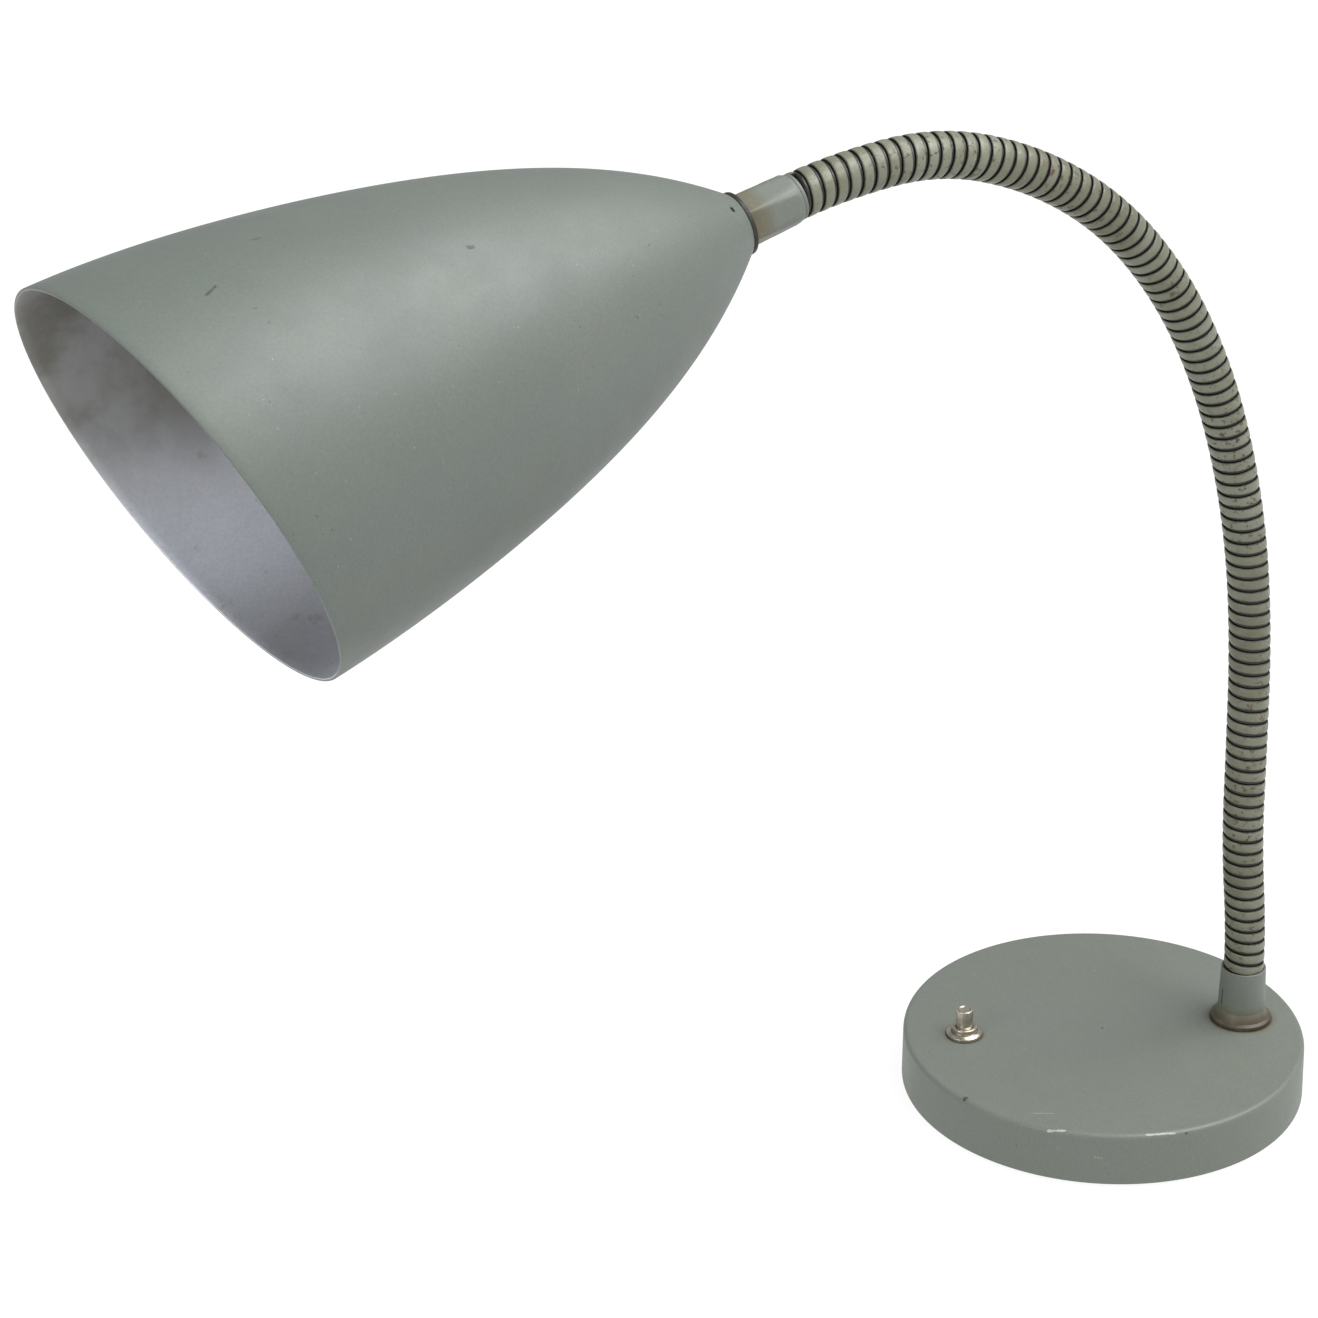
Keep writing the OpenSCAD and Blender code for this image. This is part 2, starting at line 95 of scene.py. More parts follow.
# Camera
CAMERA_AT = Vector((-0.2602, -1.0178, 0.6397))
CAMERA_TURN = -5.28
CAMERA_PITCH = 23.96
CAMERA_ROLL = 1.23
CAMERA_LENS = 86.2

# Neck: sections between hinges, turns of the outer wire, and how finely a turn is drawn
NECK_SECTIONS = 11
NECK_TURNS = 94
NECK_RADIUS = mm(7.55)
TURN_STEPS = 44

# Foot of the neck: direction, size and height of its slit
SLIT_ANGLE = math.radians(195)
SLIT_SIZE = mm(0.7, 6.0, 6.2)
SLIT_MIDDLE = mm(10.9)
SLIT_REACH = mm(9.5)

# Inlet: radius of its hole in the shell, and the length of the tool that cuts it
INLET_R = mm(4.05)
INLET_CUT = mm(20)
INLET_BEFORE = mm(6)

# Shade: radii of the control points of its outline, and its slanting mouth
SHADE_RADII = mm(10, 48, 54.1, 65.3, 72.4, 67)
SHADE_OUTLINE = mm(236)
MOUTH_AT = mm(192.2)
MOUTH_TILT = math.radians(12.7)
MOUTH_ROLL = math.radians(20.9)
SHADE_WALL = mm(1.0)
SHADE_HOLE = mm(5.05)
RIM_STEPS = 5
VENT_AT = mm(5)
VENT_ANGLE = math.radians(135)
VENT_R = mm(1)

# ---------------------------------------------------------------- places


def box_middle(node):
    low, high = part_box(node)
    return (low + high) / 2


joints = {j["name"]: j for j in frame["joints"]}
neck_bodies = ["base"] + [f"neck_{i:02d}" for i in range(1, NECK_SECTIONS + 1)] + ["head"]
hinges = []
for lower, upper in zip(neck_bodies, neck_bodies[1:]):
    joint = next(j for j in frame["joints"] if j["parent"] == lower and j["child"] == upper)
    hinges.append(Vector(joint["pos_m"]))
plane_normal = Vector(joints["neck_bend_low"]["axis"]).normalized()

foot_low, foot_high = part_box("lower_ferrule")
foot = box_middle("lower_ferrule")
foot_top = Vector((foot.x, foot.y, foot_high.z))
shell_low, shell_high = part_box("base_shell")
switch = box_middle("switch_nut")
top_z = foot_low.z

washer = box_middle("shade_washer")
head_axis = (washer - hinges[-1]).normalized()
WASHER_T = mm(1.5)
FERRULE_LEN = mm(20.8)
shade_at = washer + head_axis * WASHER_T / 2
neck_end = shade_at - head_axis * (WASHER_T + FERRULE_LEN)


def axes_on(axis, side):
    """A rotation whose Z is axis and whose Y is as near side as it can be."""
    z = axis.normalized()
    x = side.cross(z).normalized()
    y = z.cross(x)
    return Matrix((x, y, z)).transposed()


def placed(origin, axis=Vector((0, 0, 1)), side=Vector((0, 1, 0))):
    """The matrix that puts a piece made round Z at origin, along axis."""
    return Matrix.Translation(origin) @ axes_on(axis, side).to_4x4()


head_place = placed(shade_at, head_axis, plane_normal)

# The heights at which the painted shade on the shade's inside begins, and where it is full
PAINTED_SHADE_LOW, PAINTED_SHADE_HIGH = shade_at.z - mm(95), shade_at.z - mm(35)


def shade_radius(s):
    """Radius of the shade's outline at a distance from its small end."""
    t, n = s / SHADE_OUTLINE, len(SHADE_RADII) - 1
    return sum(c * math.comb(n, k) * t ** k * (1 - t) ** (n - k) for k, c in enumerate(SHADE_RADII))


# ---------------------------------------------------------------- mesh tools


def finish_mesh(name, verts, faces, materials, place=Matrix.Identity(4), sharp=32, face_slots=None):
    """A smooth-shaded object from points and faces, with edges over sharp degrees kept crisp."""
    mesh = bpy.data.meshes.new(name)
    mesh.from_pydata([place @ Vector(v) for v in verts], [], faces)
    bm = bmesh.new()
    bm.from_mesh(mesh)
    bmesh.ops.recalc_face_normals(bm, faces=bm.faces)
    bm.to_mesh(mesh)
    bm.free()
    for p in mesh.polygons:
        p.use_smooth = True
    mesh.set_sharp_from_angle(angle=math.radians(sharp))
    for m in materials:
        mesh.materials.append(m)
    if face_slots:
        for p, slot in zip(mesh.polygons, face_slots):
            p.material_index = slot
    piece = bpy.data.objects.new(name, mesh)
    bpy.context.scene.collection.objects.link(piece)
    return piece


def rounded(points, steps=5):
    """Points of an outline, each (r, z, radius): corners with a radius become arcs."""
    out = []
    n = len(points)
    for i, (r, z, radius) in enumerate(points):
        here = Vector((r, z))
        if radius <= 0:
            out.append(here)
            continue
        back = Vector(points[i - 1][:2]) - here
        ahead = Vector(points[(i + 1) % n][:2]) - here
        back_len, ahead_len = back.length, ahead.length
        back.normalize()
        ahead.normalize()
        half = back.angle(ahead) / 2
        reach = min(radius / math.tan(half), back_len * 0.49, ahead_len * 0.49)
        a, b = here + back * reach, here + ahead * reach
        for k in range(steps + 1):
            t = k / steps
            out.append(a * (1 - t) ** 2 + here * 2 * t * (1 - t) + b * t * t)
    return [(p.x, p.y) for p in out]


def lathe(name, outline, materials, place, steps=128, radius_at=None, sharp=32):
    """Turns a closed outline of (r, z) round Z. radius_at(r, z, angle) can change the radius."""
    verts, faces = [], []
    count = len(outline)
    for k in range(steps):
        a = 2 * math.pi * k / steps
        for r, z in outline:
            rr = radius_at(r, z, a) if radius_at else r
            verts.append((rr * math.cos(a), rr * math.sin(a), z))
    for k in range(steps):
        k2 = (k + 1) % steps
        for i in range(count):
            i2 = (i + 1) % count
            faces.append((k * count + i, k2 * count + i, k2 * count + i2, k * count + i2))
    return finish_mesh(name, verts, faces, materials, place, sharp)


def cut_with(piece, cutter):
    """Takes cutter away from piece, for good."""
    modifier = piece.modifiers.new("cut", "BOOLEAN")
    modifier.operation = "DIFFERENCE"
    modifier.solver = "EXACT"
    modifier.object = cutter
    bpy.context.view_layer.update()
    graph = bpy.context.evaluated_depsgraph_get()
    mesh = bpy.data.meshes.new_from_object(piece.evaluated_get(graph))
    piece.modifiers.clear()
    piece.data = mesh
    mesh.set_sharp_from_angle(angle=math.radians(32))
    bpy.data.objects.remove(cutter)


def rod(name, radius, length, place, steps=32):
    """A plain round bar along Z from 0, for cutting holes."""
    verts, faces = [], []
    for z in (0, length):
        for k in range(steps):
            a = 2 * math.pi * k / steps
            verts.append((radius * math.cos(a), radius * math.sin(a), z))
    for k in range(steps):
        k2 = (k + 1) % steps
        faces.append((k, k2, steps + k2, steps + k))
    faces.append(tuple(range(steps - 1, -1, -1)))
    faces.append(tuple(range(steps, 2 * steps)))
    return finish_mesh(name, verts, faces, [], place)


def block(name, size, place):
    """A box of a given size about the origin, for cutting slots."""
    x, y, z = (v / 2 for v in size)
    corners = [(sx * x, sy * y, sz * z) for sx in (-1, 1) for sy in (-1, 1) for sz in (-1, 1)]
    faces = [(0, 1, 3, 2), (4, 6, 7, 5), (0, 4, 5, 1), (2, 3, 7, 6), (0, 2, 6, 4), (1, 5, 7, 3)]
    return finish_mesh(name, corners, faces, [], place)


# ---------------------------------------------------------------- materials


class Nodes:
    """A material's node tree, with short calls for what the materials here share."""

    def __init__(self, name):
        self.material = bpy.data.materials.new(name)
        self.material.use_nodes = True
        self.tree = self.material.node_tree
        self.shader = self.tree.nodes["Principled BSDF"]
        self.place = self.tree.nodes.new("ShaderNodeTexCoord").outputs["Object"]

    def link(self, value, socket):
        """Joins an output to a socket, or sets the socket where value is a constant."""
        if isinstance(value, bpy.types.NodeSocket):
            self.tree.links.new(value, socket)
        else:
            socket.default_value = value

    def noise(self, scale, detail=4, roughness=0.6, distortion=0.0, where=None):
        node = self.tree.nodes.new("ShaderNodeTexNoise")
        self.link(where or self.place, node.inputs["Vector"])
        node.inputs["Scale"].default_value = scale
        node.inputs["Detail"].default_value = detail
        node.inputs["Roughness"].default_value = roughness
        node.inputs["Distortion"].default_value = distortion
        return node.outputs["Fac"]

    def stretched(self, scale):
        node = self.tree.nodes.new("ShaderNodeMapping")
        self.link(self.place, node.inputs["Vector"])
        node.inputs["Scale"].default_value = scale
        return node.outputs["Vector"]

    def ramp(self, value, low, high, out_low=0.0, out_high=1.0, linear=False):
        node = self.tree.nodes.new("ShaderNodeMapRange")
        node.interpolation_type = "LINEAR" if linear else "SMOOTHSTEP"
        self.link(value, node.inputs["Value"])
        node.inputs["From Min"].default_value = low
        node.inputs["From Max"].default_value = high
        node.inputs["To Min"].default_value = out_low
        node.inputs["To Max"].default_value = out_high
        return node.outputs["Result"]

    def math(self, operation, a, b=0.0):
        node = self.tree.nodes.new("ShaderNodeMath")
        node.operation = operation
        self.link(a, node.inputs[0])
        self.link(b, node.inputs[1])
        return node.outputs[0]

    def mix(self, share, a, b):
        node = self.tree.nodes.new("ShaderNodeMix")
        node.data_type = "RGBA"
        self.link(share, node.inputs["Factor"])
        self.link(a, node.inputs["A"])
        self.link(b, node.inputs["B"])
        return node.outputs["Result"]

    def axis(self, name):
        node = self.tree.nodes.new("ShaderNodeSeparateXYZ")
        self.link(self.place, node.inputs[0])
        return node.outputs[name]

    def along(self, direction):
        """Distance along a direction from the row's origin."""
        node = self.tree.nodes.new("ShaderNodeVectorMath")
        node.operation = "DOT_PRODUCT"
        self.link(self.place, node.inputs[0])
        node.inputs[1].default_value = direction
        return node.outputs["Value"]

    def attribute(self, name):
        node = self.tree.nodes.new("ShaderNodeAttribute")
        node.attribute_name = name
        return node.outputs["Fac"]

    def distance_to(self, point):
        node = self.tree.nodes.new("ShaderNodeVectorMath")
        node.operation = "DISTANCE"
        self.link(self.place, node.inputs[0])
        node.inputs[1].default_value = point
        return node.outputs["Value"]

    def distance_to_line(self, start, end):
        """Distance to the piece of line between two points."""
        start, end = Vector(start), Vector(end)
        run = end - start
        if run.length < mm(0.01):
            return self.distance_to(start)
        away = self.tree.nodes.new("ShaderNodeVectorMath")
        away.operation = "SUBTRACT"
        self.link(self.place, away.inputs[0])
        away.inputs[1].default_value = start
        dot = self.tree.nodes.new("ShaderNodeVectorMath")
        dot.operation = "DOT_PRODUCT"
        self.link(away.outputs[0], dot.inputs[0])
        dot.inputs[1].default_value = run / run.length_squared
        share = self.ramp(dot.outputs["Value"], 0, 1, linear=True)
        along = self.tree.nodes.new("ShaderNodeVectorMath")
        along.operation = "SCALE"
        along.inputs[0].default_value = run
        self.link(share, along.inputs["Scale"])
        gap = self.tree.nodes.new("ShaderNodeVectorMath")
        gap.operation = "DISTANCE"
        self.link(away.outputs[0], gap.inputs[0])
        self.link(along.outputs[0], gap.inputs[1])
        return gap.outputs["Value"]

    def distance_to_axis(self, point):
        """Distance to the upright line through a point."""
        flat = self.tree.nodes.new("ShaderNodeVectorMath")
        flat.operation = "MULTIPLY"
        self.link(self.place, flat.inputs[0])
        flat.inputs[1].default_value = (1, 1, 0)
        gap = self.tree.nodes.new("ShaderNodeVectorMath")
        gap.operation = "DISTANCE"
        self.link(flat.outputs[0], gap.inputs[0])
        gap.inputs[1].default_value = (point.x, point.y, 0)
        return gap.outputs["Value"]

    def bump(self, height, distance, strength=1.0, before=None):
        node = self.tree.nodes.new("ShaderNodeBump")
        self.link(height, node.inputs["Height"])
        node.inputs["Distance"].default_value = distance
        node.inputs["Strength"].default_value = strength
        if before:
            self.link(before, node.inputs["Normal"])
        return node.outputs["Normal"]

    def set(self, **sockets):
        for name, value in sockets.items():
            self.link(value, self.shader.inputs[name.replace("_", " ")])
        return self.material


def rgb(red, green, blue):
    """An sRGB colour, 0 to 255, as linear RGBA."""
    def linear(c):
        c /= 255
        return c / 12.92 if c <= 0.04045 else ((c + 0.055) / 1.055) ** 2.4
    return (linear(red), linear(green), linear(blue), 1.0)


PAINT = rgb(103, 109, 102)
PAINT_DARK = rgb(95, 101, 93)
PAINT_WARM = rgb(108, 111, 98)
# the lamp shade's enamel is the base's paint made a little darker: painted shade
SHADE_PAINT = rgb(96, 103, 98)
SHADE_DARK = rgb(88, 95, 89)
SHADE_WARM = rgb(103, 107, 96)
# near-black for grime and chips, and also for painted contact shadows and shade
GRIME_AND_SHADE = rgb(58, 52, 38)
STAIN = rgb(90, 83, 60)
PALE_MARK = rgb(165, 170, 160)


def paint(name, tint=PAINT, dark=PAINT_DARK, warm=PAINT_WARM, chips=0.0, marks=(), stains=()):
    """Old satin enamel: cloudy colour, fine orange peel, dust specks and a few small chips.

    marks are spots and scratches, each (from, to, radius, colour, strength). stains are
    soft patches of stain, grime and painted shade, each (share where they lie, strength, colour).
    """
    n = Nodes(name)
    clouds = n.ramp(n.noise(9, 3), 0.3, 0.7)
    patches = n.ramp(n.noise(31, 5), 0.42, 0.75)
    colour = n.mix(n.math("MULTIPLY", clouds, 0.4), tint, dark)
    colour = n.mix(n.math("MULTIPLY", patches, 0.25), colour, warm)
    fine = n.ramp(n.noise(1100, 3), 0.3, 0.7)
    colour = n.mix(n.math("MULTIPLY", fine, 0.16), colour, GRIME_AND_SHADE)
    specks = n.ramp(n.noise(520, 2), 0.735, 0.76)
    colour = n.mix(n.math("MULTIPLY", specks, 0.5), colour, GRIME_AND_SHADE)
    dust = n.ramp(n.noise(640, 2, where=n.stretched((1, 1.2, 0.9))), 0.73, 0.77)
    colour = n.mix(n.math("MULTIPLY", dust, 0.3), colour, PALE_MARK)
    if chips:
        worn = n.ramp(n.noise(420, 4), 0.77 - chips, 0.79 - chips)
        colour = n.mix(worn, colour, GRIME_AND_SHADE)
    for where, strength, stain in stains:
        uneven = n.ramp(n.noise(260, 5), 0.2, 0.55, strength * 0.35, strength)
        share = n.math("MULTIPLY", where(n), uneven)
        colour = n.mix(share, colour, stain)
    ragged = n.math("MULTIPLY", n.math("SUBTRACT", n.noise(900, 3), 0.5), mm(1.2))
    for start, end, radius, mark, strength in marks:
        away = n.math("ADD", n.distance_to_line(start, end), ragged)
        spot = n.ramp(away, radius * 0.7, radius * 1.2, strength, 0)
        colour = n.mix(spot, colour, mark)
    rough = n.ramp(n.noise(60, 4), 0.3, 0.7, 0.48, 0.56)
    peel = n.bump(n.noise(1500, 2), mm(0.04), 0.2)
    waves = n.bump(n.noise(130, 2), mm(0.3), 0.08, peel)
    return n.set(Base_Color=colour, Roughness=rough, Normal=waves)


def metal(name, tint, dark, rough=(0.2, 0.4), metallic=1.0):
    """Old turned metal: stains, fine pitting and uneven gloss."""
    n = Nodes(name)
    stains = n.ramp(n.noise(300, 5), 0.35, 0.7)
    colour = n.mix(n.math("MULTIPLY", stains, 0.5), tint, dark)
    gloss = n.ramp(n.noise(600, 4), 0.3, 0.7, *rough)
    pits = n.bump(n.noise(1800, 3), mm(0.04), 0.3)
    return n.set(Base_Color=colour, Roughness=gloss, Metallic=metallic, Normal=pits)


def moulded(name, tint, dark, rough=0.35):
    n = Nodes(name)
    mottle = n.ramp(n.noise(220, 5), 0.35, 0.7)
    gloss = n.ramp(n.noise(90, 4), 0.3, 0.7, rough, rough + 0.15)
    skin = n.bump(n.noise(2500, 2), mm(0.03), 0.2)
    return n.set(Base_Color=n.mix(mottle, tint, dark), Roughness=gloss, Normal=skin)


def cast_iron():
    n = Nodes("cast_iron")
    colour = n.mix(n.ramp(n.noise(180, 6), 0.3, 0.7), rgb(58, 57, 56), rgb(84, 74, 64))
    grains = n.bump(n.noise(700, 5), mm(0.4), 0.6)
    return n.set(Base_Color=colour, Roughness=0.75, Metallic=0.5, Normal=grains)


def felt():
    n = Nodes("felt")
    fibres = n.noise(2600, 6, 0.8, 1.5)
    colour = n.mix(n.ramp(fibres, 0.3, 0.7), rgb(38, 40, 36), rgb(64, 66, 58))
    return n.set(Base_Color=colour, Roughness=0.95, Sheen_Weight=0.3, Normal=n.bump(fibres, mm(0.4), 0.7))


def neck_paint():
    """Lacquer on the outer wire: brown where it is rubbed, and dark in the grooves with grime and painted
    shade.
    """
    n = Nodes("neck_paint")
    groove = n.attribute("groove")
    clouds = n.ramp(n.noise(30, 4), 0.3, 0.7)
    colour = n.mix(clouds, rgb(112, 116, 100), rgb(92, 92, 74))
    streaks = n.ramp(n.noise(230, 5), 0.5, 0.75)
    colour = n.mix(n.math("MULTIPLY", streaks, 0.55), colour, rgb(92, 84, 62))
    worn = n.ramp(n.noise(520, 5, 0.65), 0.56, 0.63)
    where = n.ramp(n.noise(22, 2), 0.38, 0.58)
    colour = n.mix(n.math("MULTIPLY", worn, where), colour, rgb(72, 52, 33))
    bright = n.ramp(n.noise(760, 4), 0.68, 0.73)
    colour = n.mix(n.math("MULTIPLY", bright, 0.5), colour, rgb(168, 168, 150))
    # deep in the grooves between turns: grime and painted shade
    groove_grime_and_shade = n.ramp(n.math("ADD", groove, n.math("MULTIPLY", n.noise(400, 3), 0.35)), 0.28, 0.75)
    colour = n.mix(groove_grime_and_shade, colour, rgb(32, 28, 20))
    rough = n.ramp(n.noise(300, 4), 0.3, 0.7, 0.34, 0.55)
    relief = n.bump(n.noise(900, 4), mm(0.12), 0.5)
    relief = n.bump(worn, mm(-0.08), 0.5, relief)
    return n.set(Base_Color=colour, Roughness=rough, Normal=relief)


def shade_inside():
    """Bare spun aluminium, dulled: grey-brown painted shade on the upper far side, and painted shade
    darkening the lowest tip.
    """
    n = Nodes("shade_inside")
    clouds = n.ramp(n.noise(16, 4, 0.6), 0.3, 0.7)
    colour = n.mix(clouds, rgb(232, 235, 243), rgb(218, 221, 228))
    # painted shade: the upper far side of the inside is darkened to grey-brown, a little blotchy
    middle = shade_at.dot(plane_normal)
    far = n.ramp(n.along(plane_normal), middle - mm(30), middle + mm(12), 1, 0)
    upper = n.math("MULTIPLY", far, n.ramp(n.axis("Z"), PAINTED_SHADE_LOW, PAINTED_SHADE_HIGH))
    blotches = n.ramp(n.noise(34, 6, 0.62), 0.36, 0.66)
    share = n.math("MULTIPLY", upper, n.math("ADD", n.math("MULTIPLY", blotches, 0.2), 0.78))
    colour = n.mix(share, colour, rgb(114, 112, 104))
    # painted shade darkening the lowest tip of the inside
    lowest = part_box("shade")[0].z
    tip = n.ramp(n.axis("Z"), lowest + mm(1), lowest + mm(14), 0.3, 0)
    colour = n.mix(tip, colour, rgb(104, 106, 106))
    spots = n.ramp(n.noise(150, 5), 0.60, 0.72)
    colour = n.mix(n.math("MULTIPLY", spots, 0.3), colour, rgb(122, 114, 98))
    fine = n.ramp(n.noise(900, 3), 0.3, 0.7)
    colour = n.mix(n.math("MULTIPLY", fine, 0.15), colour, rgb(140, 138, 134))
    rough = n.ramp(n.noise(40, 4), 0.3, 0.7, 0.48, 0.56)
    grain = n.bump(n.noise(1200, 3), mm(0.04), 0.25)
    return n.set(Base_Color=colour, Roughness=rough, Metallic=0.9, Normal=grain)


def bulb_glass():
    n = Nodes("bulb_frosted")
    haze = n.ramp(n.noise(70, 3), 0.3, 0.7)
    colour = n.mix(haze, rgb(238, 236, 230), rgb(228, 226, 219))
    fine = n.bump(n.noise(3000, 2), mm(0.02), 0.3)
    return n.set(Base_Color=colour, Roughness=0.32, Subsurface_Weight=0.2, Normal=fine)


def on_shade_skin(s, angle):
    """The point of the shade's outside at a distance along its axis and an angle round it."""
    a, r = math.radians(angle), shade_radius(mm(s))
    return head_place @ Vector((r * math.cos(a), r * math.sin(a), mm(s)))


def on_base_edge(angle, inset, drop=0.0):
    """A point near the base's top edge, at an angle round the base."""
    a, r = math.radians(angle), (shell_high.x - shell_low.x) / 2 - mm(inset)
    return Vector((r * math.cos(a), r * math.sin(a), shell_high.z - mm(drop)))


def ring_stain_and_shadow(point, low, high):
    """A soft ring on the base round the foot of an upright piece, used both for stains and for painted
    contact shadows.
    """
    return lambda n: n.ramp(n.distance_to_axis(point), mm(low), mm(high), 1, 0)


def grime_and_shade_to_flange(low, high):
    """A darkening that thickens toward the foot's flange, between two heights above the base: brown grime,
    and near the flange grime with painted shade.
    """
    return lambda n: n.ramp(n.axis("Z"), foot_low.z + mm(low), foot_low.z + mm(high), 1, 0)


def ferrule_end_darkening(n):
    """Darker, browner colour at the end of the upper ferrule that meets the shade."""
    return n.ramp(n.distance_to(washer), mm(9), mm(13), 1, 0)


CHIP = rgb(52, 50, 46)
SHADE_MARKS = [
    (on_shade_skin(99, 144), on_shade_skin(100, 144.3), mm(0.75), CHIP, 0.8),
    (on_shade_skin(175, 156.6), on_shade_skin(171, 158.3), mm(0.4), CHIP, 0.75),
    (on_shade_skin(152, 171), on_shade_skin(150, 171), mm(0.35), CHIP, 0.5),
    (on_shade_skin(60, 100), on_shade_skin(61, 101), mm(0.35), CHIP, 0.4),
]
BASE_MARKS = [
    (on_base_edge(-145.2, 1.9), on_base_edge(-145.2, 1.3, 0.5), mm(0.85), CHIP, 0.9),
    (on_base_edge(-118, 0.6, 1), on_base_edge(-113.5, 1.4, 0.2), mm(0.4), PALE_MARK, 0.8),
    (on_base_edge(-91, 1.2, 0.3), on_base_edge(-83, 0.8, 0.6), mm(0.35), PALE_MARK, 0.75),
    (on_base_edge(-79.8, 0.5, 1.2), on_base_edge(-79.4, 0.5, 1.2), mm(0.5), CHIP, 0.85),
    (on_base_edge(-105, 0.5, 9), on_base_edge(-103, 0.5, 9.6), mm(0.3), PALE_MARK, 0.5),
    (on_base_edge(-125, 8), on_base_edge(-119, 11), mm(0.25), PALE_MARK, 0.3),
]

mat = {
    "enamel": paint("enamel", marks=BASE_MARKS, stains=[
        # the wide brown rings round the foot and the switch are stains; the narrow near-black rings at their
        # very edges are painted contact shadows
        (ring_stain_and_shadow(foot, 12, 14.5), 0.5, STAIN), (ring_stain_and_shadow(foot, 11.6, 12.3), 0.9, GRIME_AND_SHADE),
        (ring_stain_and_shadow(switch, 7.4, 9), 0.3, STAIN), (ring_stain_and_shadow(switch, 7.0, 7.5), 0.8, GRIME_AND_SHADE),
    ]),
    "foot_enamel": paint("foot_enamel", chips=0.01, stains=[
        # brown grime up the foot, and near-black at the flange where it meets the base: grime and painted
        # shade
        (grime_and_shade_to_flange(2, 10), 1.0, STAIN), (grime_and_shade_to_flange(1, 6.5), 1.0, GRIME_AND_SHADE),
    ]),
    "ferrule_enamel": paint("ferrule_enamel", chips=0.04, stains=[(ferrule_end_darkening, 0.8, STAIN)]),
    "shade_enamel": paint("shade_enamel", SHADE_PAINT, SHADE_DARK, SHADE_WARM, marks=SHADE_MARKS),
    "neck_steel": neck_paint(),
    "shade_inside": shade_inside(),
    "nickel": metal("nickel", rgb(196, 190, 176), rgb(110, 100, 80)),
    "cast_iron": cast_iron(),
    "steel": metal("steel", rgb(168, 168, 166), rgb(110, 108, 102), (0.3, 0.5)),
    "brass": metal("brass", rgb(196, 160, 92), rgb(120, 92, 48)),
    "felt": felt(),
    "rubber": moulded("rubber", rgb(30, 30, 30), rgb(44, 43, 41), 0.6),
    "bakelite": moulded("bakelite", rgb(42, 32, 26), rgb(26, 20, 17)),
    "cable": moulded("cable", rgb(42, 41, 39), rgb(60, 58, 54), 0.5),
    "dark_washer": metal("dark_washer", rgb(42, 39, 33), rgb(22, 20, 16), (0.45, 0.6), metallic=0.2),
    "bulb_glass": bulb_glass(),
}
slot_of = {s["node"]: s["material_slot"] for s in frame["record"]["subparts"]}
for node, obj in frame["nodes"].items():
    obj.data.materials.clear()
    obj.data.materials.append(mat[slot_of[node]])

# ---------------------------------------------------------------- base


def base_shell():
    radius = (shell_high.x - shell_low.x) / 2
    wall, edge = mm(1.6), mm(2.1)
    low, top = shell_low.z, shell_high.z
    outline = rounded([
        (mm(0.4), top, 0), (radius - mm(0.4), top, edge), (radius, low, mm(0.35)),
        (radius - wall, low, mm(0.3)), (radius - wall, top - wall, mm(0.6)),
        (mm(0.4), top - wall, 0),
    ], 8)
    middle = Vector(((shell_low.x + shell_high.x) / 2, (shell_low.y + shell_high.y) / 2, 0))
    piece = lathe("base_shell_skin", outline, [mat["enamel"]], placed(middle), 256)
    inlet = box_middle("inlet_grommet")
    start = inlet - Vector((0, INLET_BEFORE, 0))
    place = placed(start, Vector((0, 1, 0)), Vector((0, 0, 1)))
    cut_with(piece, rod("inlet_hole", INLET_R, INLET_CUT, place))
    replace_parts(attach(piece, "base"), "base_shell")


def felt_disc():
    low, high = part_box("felt_pad")
    radius = (high.x - low.x) / 2
    outline = rounded([
        (mm(0.4), high.z, 0), (radius, high.z, mm(0.2)), (radius, low.z, mm(0.35)), (mm(0.4), low.z, 0)
    ])
    piece = lathe("felt_disc", outline, [mat["felt"]], placed(Vector((0, 0, 0))), 192)
    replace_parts(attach(piece, "base"), "felt_pad")


def foot_ferrule():
    flange = (foot_high.x - foot_low.x) / 2
    top = foot_high.z - foot_low.z
    outline = rounded([
        (mm(5.1), 0, 0), (flange, 0, mm(0.3)), (flange, mm(1.5), mm(0.5)),
        (mm(10.2), mm(2.2), mm(0.7)), (mm(8.9), mm(5.4), mm(2.0)), (mm(8.35), top, mm(0.35)),
        (mm(7.65), top, mm(0.15)), (mm(7.65), top - mm(8), 0), (mm(5.1), top - mm(8), 0),
    ])
    place = placed(Vector((foot.x, foot.y, foot_low.z)))
    piece = lathe("foot_ferrule", outline, [mat["foot_enamel"]], place, 160)
    out = Vector((math.cos(SLIT_ANGLE), math.sin(SLIT_ANGLE), 0))
    middle = place @ Vector((0, 0, SLIT_MIDDLE)) + out * SLIT_REACH
    cutter = block("slit_cutter", SLIT_SIZE, placed(middle, Vector((0, 0, 1)), out))
    cut_with(piece, cutter)
    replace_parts(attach(piece, "base"), "lower_ferrule")


